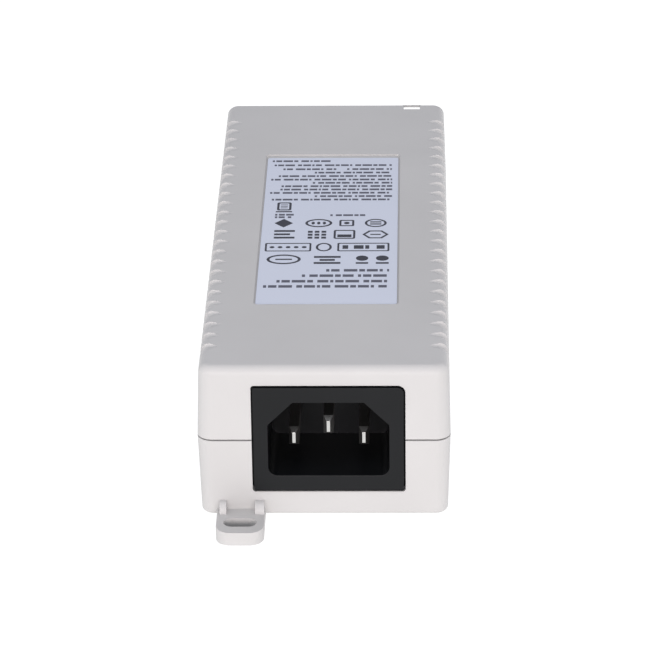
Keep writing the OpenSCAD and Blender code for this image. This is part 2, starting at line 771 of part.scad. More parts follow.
module jack_shield() {
    rim = 0.4;
    color([0.78, 0.78, 0.79]) difference() {
        block(-jack_w / 2, jack_w / 2, jack_face_y - jack_l, jack_face_y, jack_z, jack_z + jack_h);
        block(-jack_w / 2 + jack_skin, jack_w / 2 - jack_skin, jack_face_y - jack_l + jack_skin,
            jack_face_y - jack_skin, jack_z - 1, jack_z + jack_h - jack_skin);
        // The mouth
        block(-jack_cavity_w / 2 - rim, jack_cavity_w / 2 + rim, jack_face_y - 1, jack_face_y + 1,
            jack_floor_z - 1.5 * rim, jack_floor_z + jack_cavity_h + rim / 2);
        block(-latch_w / 2 - rim, latch_w / 2 + rim, jack_face_y - 1, jack_face_y + 1,
            jack_floor_z, jack_floor_z + jack_cavity_h + latch_h + rim);
    }
}

module jack_insulator() {
    slack = 0.05;
    color([0.1, 0.1, 0.11]) difference() {
        block(-jack_w / 2 + jack_skin + slack, jack_w / 2 - jack_skin - slack,
            jack_face_y - jack_l + jack_skin + slack, jack_face_y - jack_skin - slack,
            jack_z + 0.2, jack_z + jack_h - jack_skin - slack);
        jack_opening(jack_cavity_d);
        // The trench that the contacts spring into
        block(-trench_w / 2, trench_w / 2, jack_face_y - jack_cavity_d, contact_root_y + 1,
            jack_floor_z - trench_d, jack_floor_z + 1);
    }
}

// The free, sprung stretch of the eight contacts, each with a round bend at its root
module jack_contacts() {
    color([0.85, 0.68, 0.3]) for (i = [0:contact_n - 1])
        translate([(i - (contact_n - 1) / 2) * contact_pitch, contact_root_y, contact_root_z]) {
            rotate([90 - contact_rise, 0, 0]) cylinder(r = contact_r, h = contact_l, $fn = 24);
            rotate([0, 90, 0]) cylinder(r = bend_r, h = bend_w, center = true, $fn = 24);
        }
}

module data_jack_shield() translate([-jack_x, 0, 0]) jack_shield();
module data_jack_insulator() translate([-jack_x, 0, 0]) jack_insulator();
module data_jack_contacts() translate([-jack_x, 0, 0]) jack_contacts();
module power_jack_shield() translate([jack_x, 0, 0]) jack_shield();
module power_jack_insulator() translate([jack_x, 0, 0]) jack_insulator();
module power_jack_contacts() translate([jack_x, 0, 0]) jack_contacts();

// The soldered ends of the contacts, behind each socket
module jack_tails() {
    tail_w = 0.4;
    tail_l = 1.4;
    tail_t = 0.3;
    color([0.8, 0.7, 0.45]) for (sx = [-1, 1], i = [0:contact_n - 1])
        translate([sx * jack_x + (i - (contact_n - 1) / 2) * contact_pitch - tail_w / 2,
            jack_face_y - jack_l - 0.2 - tail_l, board_top]) cube([tail_w, tail_l, tail_t]);
}

module status_leds() {
    base_w = 3.2;
    lens_w = 2.2;
    led_l = 1.8;
    base_h = 0.5;
    color([0.9, 0.9, 0.85]) for (sx = [-1, 1])
        translate([sx * jack_x, pipe_y, board_top]) {
            block(-base_w / 2, base_w / 2, -led_l / 2, led_l / 2, 0, base_h);
            block(-lens_w / 2, lens_w / 2, -led_l / 2, led_l / 2, base_h - eps, led_h);
        }
}

// A clear rod that rises from the light and turns at a cut corner, out through the end wall
module light_pipe() {
    elbow = pipe_r + 0.1;
    rod(0, pipe_y, board_top + led_h + 0.2, pipe_z - elbow, pipe_r);
    translate([-elbow, pipe_y, pipe_z]) rotate([90, 0, 90]) linear_extrude(2 * elbow)
        polygon([[-elbow, -elbow], [elbow, -elbow], [elbow, elbow], [0, elbow], [-elbow, 0]]);
    translate([0, pipe_y + elbow, pipe_z]) rotate([-90, 0, 0])
        cylinder(r = pipe_r, h = rear_y - pipe_y - elbow);
}

module light_pipes() {
    color([0.85, 0.95, 0.88]) for (sx = [-1, 1]) translate([sx * jack_x, 0, 0]) light_pipe();
}

top_cover();
bottom_cover();
rubber_feet();
rating_label();
cover_screws();
inlet_housing();
inlet_line_pin();
inlet_neutral_pin();
inlet_earth_pin();
circuit_board();
board_screws();
insulation_sheet();
mains_fuse();
fuse_caps();
surge_varistor();
filter_choke_core();
filter_choke_winding();
filter_choke_base();
mains_capacitor();
bridge_rectifier();
bulk_capacitor();
primary_heatsink();
switching_transistor();
transformer_core();
transformer_winding();
control_chip();
optocoupler();
safety_capacitor();
output_heatsink();
output_diode();
output_capacitors();
output_choke();
power_controller();
data_transformer();
surface_resistors();
data_jack_shield();
data_jack_insulator();
data_jack_contacts();
power_jack_shield();
power_jack_insulator();
power_jack_contacts();
jack_tails();
status_leds();
light_pipes();
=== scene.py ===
import math

import bmesh
import bpy
from mathutils import Matrix, Vector


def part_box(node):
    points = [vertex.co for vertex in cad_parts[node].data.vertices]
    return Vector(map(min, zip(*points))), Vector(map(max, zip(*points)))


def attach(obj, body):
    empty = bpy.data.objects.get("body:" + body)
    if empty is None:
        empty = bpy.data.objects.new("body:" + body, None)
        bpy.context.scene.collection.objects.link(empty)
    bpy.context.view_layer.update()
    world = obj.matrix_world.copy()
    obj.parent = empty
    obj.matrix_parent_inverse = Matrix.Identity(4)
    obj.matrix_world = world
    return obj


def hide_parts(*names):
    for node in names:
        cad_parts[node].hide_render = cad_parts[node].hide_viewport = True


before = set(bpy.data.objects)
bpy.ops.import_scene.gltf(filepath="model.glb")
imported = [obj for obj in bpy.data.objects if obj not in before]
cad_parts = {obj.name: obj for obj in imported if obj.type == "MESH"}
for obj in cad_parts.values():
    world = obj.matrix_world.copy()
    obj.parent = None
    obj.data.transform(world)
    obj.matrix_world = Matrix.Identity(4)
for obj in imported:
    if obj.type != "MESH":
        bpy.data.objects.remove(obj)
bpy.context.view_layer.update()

# Lengths below are in millimetres, except those of lights and materials, which are in metres.
# Pieces are scaled to metres when they are made.
MM = 0.001


def box_mm(node):
    """A CAD node's lowest and highest corners, in millimetres."""
    low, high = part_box(node)
    return low / MM, high / MM


# ---------------------------------------------------------------- camera, light and floor

def make_camera():
    """A long lens above the inlet end, turned a little to the left and tipped a hair clockwise."""
    place = Vector((18.9, -724.4, 362.7)) * MM
    down, turn, roll = 25.9, -1.6, -0.8
    data = bpy.data.cameras.new("camera")
    data.sensor_width = 36.0
    data.lens = 206.0
    data.clip_start, data.clip_end = 0.01, 10
    camera = bpy.data.objects.new("camera", data)
    bpy.context.scene.collection.objects.link(camera)
    aim = Matrix.Rotation(math.radians(-turn), 4, "Z") @ Matrix.Rotation(math.radians(90 - down), 4, "X")
    camera.matrix_world = (
        Matrix.Translation(place) @ aim @ Matrix.Rotation(math.radians(roll), 4, "Z")
    )
    bpy.context.scene.camera = camera


def area_light(name, place, aim, size, power, colour=(1, 1, 1)):
    data = bpy.data.lights.new(name, "AREA")
    data.shape = "RECTANGLE"
    data.size, data.size_y = size
    data.energy = power
    data.color = colour
    light = bpy.data.objects.new(name, data)
    bpy.context.scene.collection.objects.link(light)
    light.location = Vector(place)
    light.rotation_euler = (Vector(aim) - Vector(place)).to_track_quat("-Z", "Y").to_euler()


def make_studio():
    """A white floor, an even white surround and a broad soft light in front of the inlet end."""
    scene = bpy.context.scene
    scene.view_settings.view_transform = "Standard"
    world = bpy.data.worlds.new("studio")
    world.use_nodes = True
    background = world.node_tree.nodes["Background"]
    background.inputs["Color"].default_value = (0.905, 0.925, 1, 1)
    background.inputs["Strength"].default_value = 0.575
    scene.world = world
    area_light("front_soft_box", (0.05, -1.25, 0.3), (0, 0, 0.015), (1.2, 0.35), 10.8, (1, 0.93, 0.915))
    area_light("overhead_soft_box", (0, -0.5, 1.0), (0, 0, 0.02), (0.7, 0.4), 1.8, (0.93, 0.95, 1))
    area_light("left_soft_box", (-1.1, -0.2, 0.5), (0, 0, 0.015), (0.9, 0.9), 3)
    area_light("right_soft_box", (1.1, 0.2, 0.5), (0, 0, 0.015), (0.9, 0.9), 3)

    mesh = bpy.data.meshes.new("floor")
    half = 3.0
    mesh.from_pydata(
        [(-half, -half, 0), (half, -half, 0), (half, half, 0), (-half, half, 0)], [], [(0, 1, 2, 3)]
    )
    mesh.materials.append(floor_material())
    floor = bpy.data.objects.new("floor", mesh)
    bpy.context.scene.collection.objects.link(floor)


# ---------------------------------------------------------------- materials

class Nodes:
    """Short calls for building one material's node tree."""

    def __init__(self, name):
        self.material = bpy.data.materials.new(name)
        self.material.use_nodes = True
        self.tree = self.material.node_tree
        self.shader = self.tree.nodes["Principled BSDF"]
        self.coords = self.tree.nodes.new("ShaderNodeTexCoord").outputs["Object"]

    def add(self, kind, inputs=(), **settings):
        node = self.tree.nodes.new(kind)
        for key, value in settings.items():
            setattr(node, key, value)
        for key, value in dict(inputs).items():
            if isinstance(value, bpy.types.NodeSocket):
                self.tree.links.new(value, node.inputs[key])
            else:
                node.inputs[key].default_value = value
        return node

    def noise(self, scale, detail=2.0, rough=0.5, vector=None):
        node = self.add(
            "ShaderNodeTexNoise",
            {"Vector": vector or self.coords, "Scale": scale, "Detail": detail, "Roughness": rough},
        )
        return node.outputs["Fac"]

    def stretched(self, scale):
        node = self.add("ShaderNodeMapping", {"Vector": self.coords, "Scale": scale})
        return node.outputs["Vector"]

    def ramp(self, factor, *stops):
        node = self.add("ShaderNodeValToRGB", {"Fac": factor})
        ramp = node.color_ramp
        ramp.elements[0].position, ramp.elements[0].color = stops[0][0], (*stops[0][1], 1)
        ramp.elements[1].position, ramp.elements[1].color = stops[-1][0], (*stops[-1][1], 1)
        for place, colour in stops[1:-1]:
            ramp.elements.new(place).color = (*colour, 1)
        return node.outputs["Color"]

    def between(self, factor, low, high):
        node = self.add("ShaderNodeMapRange", {"Value": factor, "To Min": low, "To Max": high})
        return node.outputs["Result"]

    def math(self, kind, first, second=0.0):
        return self.add("ShaderNodeMath", {0: first, 1: second}, operation=kind).outputs["Value"]

    def bump(self, height, distance, strength):
        inputs = {"Height": height, "Distance": distance, "Strength": strength}
        return self.add("ShaderNodeBump", inputs).outputs["Normal"]

    def drive(self, name, socket):
        self.tree.links.new(socket, self.shader.inputs[name])

    def fix(self, **values):
        for key, value in values.items():
            self.shader.inputs[key.replace("_", " ")].default_value = value


def floor_material():
    """White paper with an even glow, and a painted shadow beneath the case and the ears, where the glow is
    turned down.
    """
    n = Nodes("floor_white")
    place = n.add("ShaderNodeSeparateXYZ", {"Vector": n.coords})
    case_low, case_high = box_mm("top_cover")
    full_high = box_mm("bottom_cover")[1]
    case = (case_high - case_low) / 2
    ear_reach = full_high.y - case_high.y
    ear_x, ear_half = 16.8, 4.2
    case_inset, ear_inset = 4, 0.6
    painted_shadow_glow, full_glow = 0.1, 0.98
    # Middle and half size of each rectangle of painted shadow
    dark = (
        (0, 0, case.x - case_inset, case.y - case_inset),
        (-ear_x, case_low.y - ear_reach / 2, ear_half, ear_reach / 2 - ear_inset),
        (ear_x, case_high.y + ear_reach / 2, ear_half, ear_reach / 2 - ear_inset),
    )
    nearest = None
    for x, y, half_x, half_y in dark:
        spans = []
        for axis, middle, half in (("X", x, half_x), ("Y", y, half_y)):
            offset = n.math("SUBTRACT", place.outputs[axis], middle * MM)
            spans.append(n.math("SUBTRACT", n.math("ABSOLUTE", offset), half * MM))
        reach = n.math("MAXIMUM", *spans)
        nearest = n.math("MINIMUM", nearest, reach) if nearest else reach
    # The glow falls to its low level inside these rectangles: a painted shadow under the case and the ears
    glow = n.add(
        "ShaderNodeMapRange",
        {"Value": nearest, "From Min": -MM, "From Max": 0.0, "To Min": painted_shadow_glow, "To Max": full_glow},
    )
    n.drive("Emission Strength", glow.outputs["Result"])
    n.fix(Base_Color=(0.15, 0.15, 0.15, 1), Roughness=0.9, Specular_IOR_Level=0.0,
          Emission_Color=(1, 1, 1, 1))
    return n.material


def shades(colour, spread):
    """Two colours a little darker and lighter than the given one."""
    return tuple(c * (1 - spread) for c in colour), tuple(min(1, c * (1 + spread)) for c in colour)


def moulded(name, colour, rough=0.5, grain=7000, grain_depth=0.00002, spread=0.025, specular=0.5):
    """Moulded plastic: a fine eroded grain, and a faint drift in tone and gloss."""
    n = Nodes(name)
    dark, light = shades(colour, spread)
    drift = n.noise(45, 3)
    n.drive("Base Color", n.ramp(drift, (0.3, dark), (0.7, light)))
    fine = n.noise(grain, 3, 0.6)
    n.drive("Roughness", n.between(n.noise(260, 4), rough - 0.06, rough + 0.06))
    n.drive("Normal", n.bump(fine, grain_depth, 0.6))
    n.fix(Specular_IOR_Level=specular)
    return n.material


def plated(name, colour, rough=0.25, along=(1, 1, 1), spread=0.06, grain_depth=0.000006):
    """Plated or drawn metal with marks stretched along one axis."""
    n = Nodes(name)
    dark, light = shades(colour, spread)
    streaks = n.noise(2200, 3, 0.6, n.stretched(along))
    n.drive("Base Color", n.ramp(n.noise(500, 4), (0.3, dark), (0.75, light)))
    n.drive("Roughness", n.between(streaks, rough - 0.07, rough + 0.1))
    n.drive("Normal", n.bump(streaks, grain_depth, 0.5))
    n.fix(Metallic=1.0)
    return n.material


COVER = moulded("cover_plastic", (0.515, 0.507, 0.50), rough=0.5)
INLET = moulded(
    "inlet_plastic", (0.0045, 0.005, 0.006), rough=0.33, spread=0.12, grain_depth=0.000006, specular=0.24
)
PINS = plated("pin_nickel", (0.6, 0.595, 0.58), rough=0.2, along=(1, 0.1, 1))
# The pins' nickel made darker and duller: painted shade on the pins' sides inside the inlet's cavity
PIN_PAINTED_SHADE = plated("pin_nickel_painted_shade", (0.2, 0.197, 0.19), rough=0.42, along=(1, 0.1, 1))
RUBBER = moulded("foot_rubber", (0.03, 0.03, 0.031), rough=0.75, spread=0.15, grain=3500)
STEEL = plated("screw_steel", (0.5, 0.5, 0.51), rough=0.33)
JACK_STEEL = plated("jack_steel", (0.68, 0.68, 0.67), rough=0.3, along=(1, 0.15, 1))
GOLD = plated("contact_gold", (0.86, 0.6, 0.2), rough=0.22)
JACK_BLACK = moulded("jack_plastic", (0.02, 0.02, 0.021), rough=0.4, spread=0.12)
FILM = moulded("label_film", (0.60, 0.635, 0.735), rough=0.38, grain=2500, grain_depth=0.000004, spread=0.012)
INK = moulded("label_ink", (0.085, 0.088, 0.12), rough=0.5, grain=2500, grain_depth=0.000003, spread=0.03)
DARK_INK = moulded("label_dark_ink", (0.024, 0.026, 0.04), rough=0.5, grain=2500, grain_depth=0.000003)
LED = moulded("led_white", (0.8, 0.8, 0.72), rough=0.3, grain_depth=0.000002)
TRACK = moulded("masked_track", (0.03, 0.2, 0.085), rough=0.32, grain_depth=0.000002)
SOLDER = plated("solder", (0.7, 0.71, 0.72), rough=0.28)
ALUMINIUM = plated("aluminium", (0.75, 0.755, 0.76), rough=0.35, along=(1, 1, 0.1))
FERRITE = moulded("ferrite", (0.045, 0.045, 0.05), rough=0.6, grain=2600, grain_depth=0.00002, spread=0.2)
PARTS_BLACK = moulded("black_epoxy", (0.018, 0.018, 0.019), rough=0.5, spread=0.2)
CERAMIC = moulded("ceramic", (0.76, 0.72, 0.62), rough=0.35, grain=3000, grain_depth=0.000006)
BLUE = moulded("blue_coating", (0.03, 0.1, 0.42), rough=0.25, grain=900, grain_depth=0.00003, spread=0.12)
YELLOW = moulded("yellow_box", (0.72, 0.43, 0.03), rough=0.3, grain=2400, grain_depth=0.000006)
SLEEVE = moulded(
    "dark_sleeve", (0.012, 0.018, 0.06), rough=0.28, grain=1400, grain_depth=0.00001, spread=0.15
)
STRIPE = moulded("pale_stripe", (0.6, 0.61, 0.62), rough=0.35, grain=1400, grain_depth=0.000008)


def board_material():
    """Green solder mask over a woven laminate."""
    n = Nodes("board_green")
    n.drive("Base Color", n.ramp(n.noise(90, 4), (0.3, (0.008, 0.085, 0.035)), (0.7, (0.012, 0.115, 0.048))))
    weave = n.add("ShaderNodeTexWave", {"Vector": n.coords, "Scale": 900.0, "Distortion": 1.5}).outputs["Fac"]
    n.drive("Roughness", n.between(n.noise(400, 3), 0.3, 0.42))
    n.drive("Normal", n.bump(weave, 0.000004, 0.4))
    n.fix(Coat_Weight=0.3)
    return n.material


def copper_material():
    """Enamelled copper wire, amber where the varnish is thick."""
    n = Nodes("enamelled_copper")
    n.drive("Base Color", n.ramp(n.noise(300, 3), (0.3, (0.5, 0.17, 0.04)), (0.75, (0.72, 0.3, 0.09))))
    n.drive("Roughness", n.between(n.noise(900, 3), 0.22, 0.36))
    n.drive("Normal", n.bump(n.noise(2500, 3), 0.000006, 0.5))
    n.fix(Metallic=1.0, Coat_Weight=0.6)
    return n.material


def tape_material():
    """Thin polyester tape, glossy and a little uneven where it wraps."""
    n = Nodes("polyester_tape")
    n.drive("Base Color", n.ramp(n.noise(180, 4), (0.3, (0.66, 0.42, 0.03)), (0.75, (0.8, 0.55, 0.06))))
    n.drive("Roughness", n.between(n.noise(600, 3), 0.16, 0.3))
    n.drive("Normal", n.bump(n.noise(350, 3, vector=n.stretched((1, 1, 4))), 0.00005, 0.4))
    return n.material


def clear_material(name, colour, rough, weight):
    """Clear plastic with faint flow marks."""
    n = Nodes(name)
    dark, light = shades(colour, 0.03)
    n.drive("Base Color", n.ramp(n.noise(200, 3), (0.3, dark), (0.7, light)))
    n.drive("Roughness", n.between(n.noise(700, 3), rough, rough + 0.08))
    n.drive("Normal", n.bump(n.noise(900, 3), 0.000006, 0.4))
    n.fix(Transmission_Weight=weight, IOR=1.49)
    return n.material


BOARD = board_material()
COPPER = copper_material()
TAPE = tape_material()
CLEAR = clear_material("clear_pipe", (0.84, 0.93, 0.87), 0.06, 0.85)
SHEET = clear_material("film_sheet", (0.86, 0.84, 0.72), 0.3, 0.4)


# ---------------------------------------------------------------- pieces

def put(piece, material, body="case", replaces=()):
    """Gives a finished piece its material and places it on its body."""
    piece.data.materials.clear()
    piece.data.materials.append(material)
    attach(piece, body)
    if replaces:
        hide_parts(*replaces)
    return piece


def new_object(name, bm):
    mesh = bpy.data.meshes.new(name)
    bm.to_mesh(mesh)
    bm.free()
    piece = bpy.data.objects.new(name, mesh)
    bpy.context.scene.collection.objects.link(piece)
    return piece


def soften(piece, edge, segments=2, angle=28, sharp=30):
    """Rounds a piece's edges over and evens out its shading."""
    if edge:
        bevel = piece.modifiers.new("edge", "BEVEL")
        bevel.width = edge * MM
        bevel.segments = segments
        bevel.limit_method = "ANGLE"
        bevel.angle_limit = math.radians(angle)
        bevel.miter_outer = "MITER_ARC"
    piece.data.shade_smooth()
    piece.data.set_sharp_from_angle(angle=math.radians(sharp))
    smooth = piece.modifiers.new("normals", "WEIGHTED_NORMAL")
    smooth.keep_sharp = True
    return piece


def tint(piece, material, test):
    """Gives another material to the faces whose middle, in millimetres, passes the test."""
    piece.data.materials.append(material)
    index = len(piece.data.materials) - 1
    for face in piece.data.polygons:
        if test(face.center / MM):
            face.material_index = index
    return piece


def refined(node, name, material, body="case", edge=0.12, segments=2, angle=28, split_faces=False):
    """The CAD solid with its flat faces merged and its edges rounded over.

    split_faces cuts the many-sided faces into triangles, for a face with an opening in it.
    """
    bm = bmesh.new()
    bm.from_mesh(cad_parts[node].data)
    bmesh.ops.remove_doubles(bm, verts=bm.verts, dist=1e-7)
    bmesh.ops.dissolve_limit(
        bm, angle_limit=math.radians(0.4), verts=bm.verts, edges=bm.edges, delimit=set()
    )
    if split_faces:
        many_sided = [face for face in bm.faces if len(face.verts) > 4]
        bmesh.ops.triangulate(bm, faces=many_sided, quad_method="BEAUTY", ngon_method="BEAUTY")
    piece = new_object(name, bm)
    return soften(put(piece, material, body, [node]), edge, segments, angle)


def add_box(bm, x0, x1, y0, y1, z0, z1):
    corners = [(x, y, z) for z in (z0, z1) for x, y in ((x0, y0), (x1, y0), (x1, y1), (x0, y1))]
    v = [bm.verts.new(Vector(c) * MM) for c in corners]
    for face in ((3, 2, 1, 0), (4, 5, 6, 7), (0, 1, 5, 4), (1, 2, 6, 5), (2, 3, 7, 6), (3, 0, 4, 7)):
        bm.faces.new([v[i] for i in face])


def add_prism(bm, outline, z0, z1):
    """An upright prism over a closed outline that runs counter-clockwise."""
    low = [bm.verts.new(Vector((x, y, z0)) * MM) for x, y in outline]
    high = [bm.verts.new(Vector((x, y, z1)) * MM) for x, y in outline]
    bm.faces.new(high)
    bm.faces.new(low[::-1])
    for i in range(len(outline)):
        j = (i + 1) % len(outline)
        bm.faces.new((low[i], low[j], high[j], high[i]))


def add_band(bm, outer, inner, z0, z1):
    """A flat closed band between two outlines with the same number of points."""
    rings = [
        [bm.verts.new(Vector((x, y, z)) * MM) for x, y in outline]
        for outline, z in ((outer, z0), (outer, z1), (inner, z1), (inner, z0))
    ]
    n = len(outer)
    for a, b in zip(rings, rings[1:] + rings[:1]):
        for i in range(n):
            j = (i + 1) % n
            bm.faces.new((a[i], a[j], b[j], b[i]))


def add_lathe(bm, profile, place=(0, 0, 0), axis="Z", steps=48):
    """Turns a profile of (radius, height) points about an axis through the given place."""
    turn = {"X": Matrix.Rotation(math.pi / 2, 3, "Y"), "Y": Matrix.Rotation(-math.pi / 2, 3, "X")}
    turn = turn.get(axis, Matrix.Identity(3))
    rings = []
    for r, h in profile:
        count = 1 if r < 1e-6 else steps
        ring = []
        for i in range(count):
            a = 2 * math.pi * i / steps
            point = Vector((r * math.cos(a), r * math.sin(a), h))
            ring.append(bm.verts.new((turn @ point + Vector(place)) * MM))
        rings.append(ring)
    for low, high in zip(rings, rings[1:]):
        for i in range(steps):
            j = (i + 1) % steps
            corners = [low[i % len(low)], low[j % len(low)], high[j % len(high)], high[i % len(high)]]
            unique = list(dict.fromkeys(corners))
            if len(unique) > 2:
                bm.faces.new(unique)


def add_tube(bm, path, radius, sides=10):
    """A round wire along a path of points in millimetres."""
    points = [Vector(p) for p in path]
    n = len(points)
    rings = []
    normal = None
    for i, p in enumerate(points):
        along = (points[min(i + 1, n - 1)] - points[max(i - 1, 0)]).normalized()
        if normal is None:
            normal = along.orthogonal().normalized()
        normal = (normal - along * normal.dot(along)).normalized()
        side = along.cross(normal)
        rings.append([
            bm.verts.new((p + (normal * math.cos(a) + side * math.sin(a)) * radius) * MM)
            for a in (2 * math.pi * k / sides for k in range(sides))
        ])
    for a, b in zip(rings, rings[1:]):
        for k in range(sides):
            m = (k + 1) % sides
            bm.faces.new((a[k], a[m], b[m], b[k]))
    bm.faces.new(rings[0][::-1])
    bm.faces.new(rings[-1])


def ellipse(x, y, rx, ry, steps=28):
    return [
        (x + rx * math.cos(2 * math.pi * i / steps), y + ry * math.sin(2 * math.pi * i / steps))
        for i in range(steps)
    ]


def rounded(x0, x1, y0, y1, r, steps=4):
    """The outline of a rectangle with round corners."""
    points = []
    corners = (
        (x1 - r, y1 - r, 0), (x0 + r, y1 - r, 90), (x0 + r, y0 + r, 180), (x1 - r, y0 + r, 270),
    )
    for cx, cy, start in corners:
        for i in range(steps + 1):
            a = math.radians(start + 90 * i / steps)
            points.append((cx + r * math.cos(a), cy + r * math.sin(a)))
    return points


# ---- case

def make_case():
    refined("top_cover", "top_shell", COVER, edge=0.12, segments=2, angle=35)
    refined("bottom_cover", "bottom_shell", COVER, edge=0.14, segments=2)
    refined("rubber_feet", "feet", RUBBER, edge=0.2)
    refined("cover_screws", "case_screws", STEEL, edge=0.08)


# ---- label

def dashes(bm, x0, x1, y, tall, z0, z1, seed):
    """A row of plain dashes of uneven length, which stands for a line of small print."""
    x, k = x0, seed
    while x < x1 - 0.3:
        end = min(x1, x + tall * (0.55 + 0.45 * ((k * 7 + seed * 3) % 5)))
        add_box(bm, x, end, y - tall / 2, y + tall / 2, z0, z1)
        x = end + tall * (0.75 if k % 4 == 0 else 0.32)
        k += 1


def make_label():
    low, high = box_mm("rating_label")
    refined("rating_label", "label", FILM, edge=0.03, segments=1)
    z0, z1 = high.z - 0.01, high.z + 0.012

    fine = bmesh.new()
    # Rows of small print: distance along the case, then where the row starts and ends across it
    rows = (
        (34.9, -13.4, -0.5), (32.6, -12.9, 13.1), (30.4, -10.9, 0.8), (30.4, 3.2, 13.1), (28.5, -3.9, 13.1),
        (26.6, -11.8, 13.1), (24.7, -13.4, 13.2), (22.9, -4.2, 13.2), (21.1, -11, 13.2),
        (19.3, -11.2, 13.2), (17.5, -13.4, 13.1), (15.7, -3.6, 13.2), (13.9, -12.9, 13.2),
        (5.9, -11.9, -7.9), (4.6, -11.9, -8.4), (5.6, 0, 7.5),
    )
    for i, (y, x0, x1) in enumerate(rows):
        dashes(fine, x0, x1, y, 0.9, z0, z1, i + 1)
    for i, (y, x0) in enumerate(((-22.4, -0.3), (-25.0, -5.3), (-27.7, -10.5), (-30.2, -13.2))):
        dashes(fine, x0, 12.8, y, 1.2, z0, z1, i + 3)
    put(new_object("label_small_print", fine), INK)

    bold = bmesh.new()
    # Plain marks in rows, which stand for the printed marks
    add_band(bold, rounded(-11.6, -8.5, 8.2, 12.4, 0.5), rounded(-11.1, -9.0, 8.7, 11.9, 0.3), z0, z1)
    for y in (9.5, 10.3, 11.1):
        add_box(bold, -10.8, -9.3, y - 0.15, y + 0.15, z0, z1)
    add_box(bold, -11.8, -8.3, 7.2, 7.8, z0, z1)

    # Row one: a lozenge, a flat ring, a framed dot, a pair of bars
    add_prism(bold, [(-11.9, 1.5), (-9.9, -0.7), (-7.9, 1.5), (-9.9, 3.7)], z0, z1)
    add_band(bold, ellipse(-2.4, 1.5, 2.9, 2.1), ellipse(-2.4, 1.5, 2.35, 1.55), z0, z1)
    for x in (-3.6, -2.4, -1.2):
        add_prism(bold, ellipse(x, 1.5, 0.36, 0.7, 14), z0, z1)
    add_band(bold, rounded(2, 5.2, -0.1, 3.1, 0.4), rounded(2.45, 4.75, 0.35, 2.65, 0.2), z0, z1)
    add_prism(bold, ellipse(3.6, 1.5, 0.6, 0.6, 16), z0, z1)
    add_band(bold, ellipse(9.8, 1.5, 2.35, 2.1), ellipse(9.8, 1.5, 1.85, 1.6), z0, z1)
    add_box(bold, 8.6, 11, 1.75, 2.3, z0, z1)
    add_box(bold, 8.6, 11, 0.7, 1.25, z0, z1)

    # Row two: a stack of bars, a square grid, a half-filled frame, a flat hexagon
    for k, span in enumerate((4.4, 3.4, 4.4)):
        add_box(bold, -11.8, -11.8 + span, -6.4 + 1.7 * k, -5.5 + 1.7 * k, z0, z1)
    for i in range(3):
        for j in range(3):
            add_box(bold, -4.6 + 1.45 * i, -3.6 + 1.45 * i, -6.5 + 1.5 * j, -5.5 + 1.5 * j, z0, z1)
    add_band(bold, rounded(0.9, 5.5, -6.6, -2.1, 0.5), rounded(1.35, 5.05, -6.15, -2.55, 0.3), z0, z1)
    add_box(bold, 1.7, 4.7, -5.8, -4.4, z0, z1)
    hexagon = ellipse(9.8, -4.4, 2.8, 2.3, 6)
    add_band(bold, hexagon, ellipse(9.8, -4.4, 2.2, 1.75, 6), z0, z1)
    add_box(bold, 8.7, 10.9, -4.65, -4.15, z0, z1)

    # Row three: a long frame with dots, a lens, a long frame with bars
    add_band(bold, rounded(-13.5, -3.7, -12.9, -8.7, 0.4), rounded(-13.1, -4.1, -12.5, -9.1, 0.25), z0, z1)
    for k in range(5):
        add_prism(bold, ellipse(-12 + 1.7 * k, -10.8, 0.52, 0.52, 14), z0, z1)
    add_band(bold, ellipse(-1.05, -10.8, 1.7, 2.1), ellipse(-1.05, -10.8, 1.2, 1.6), z0, z1)
    add_band(bold, rounded(1.8, 12.8, -12.9, -8.7, 0.4), rounded(2.2, 12.4, -12.5, -9.1, 0.25), z0, z1)
    for k, span in enumerate((1.4, 2.4, 1.0, 2.0)):
        x = 2.9 + 2.4 * k
        add_box(bold, x, x + span * 0.85, -11.7, -9.9, z0, z1)

    # Row four: bigger marks
    add_band(bold, ellipse(-9.35, -16.9, 3.6, 2.4, 32), ellipse(-9.35, -16.9, 3.0, 1.8, 32), z0, z1)
    add_box(bold, -11.1, -7.6, -17.2, -16.6, z0, z1)
    add_box(bold, -3, 2.6, -19.2, -18.3, z0, z1)
    add_box(bold, -1.8, 1.4, -17.7, -16.8, z0, z1)
    add_box(bold, -3, 2.6, -16.2, -15.3, z0, z1)
    for x0, x1 in ((5.8, 8.4), (10, 12.7)):
        add_box(bold, x0, x1, -19.2, -18.4, z0, z1)
        add_prism(bold, ellipse((x0 + x1) / 2, -16.4, (x1 - x0) / 2, 1.3, 20), z0, z1)
    put(new_object("label_marks", bold), DARK_INK)


# ---- mains inlet

def make_inlet():
    refined("inlet_housing", "inlet_block", INLET, edge=0.28, segments=3)
    for name in ("line", "neutral", "earth"):
        pin = refined(f"inlet_{name}_pin", f"{name}_pin", PINS, edge=0.04)
        low = box_mm(f"inlet_{name}_pin")[0]
        # Painted shade: every face of a pin behind its front tip gets the darker nickel
        tint(pin, PIN_PAINTED_SHADE, lambda c: c.y > low.y + 0.05)


# ---- network sockets

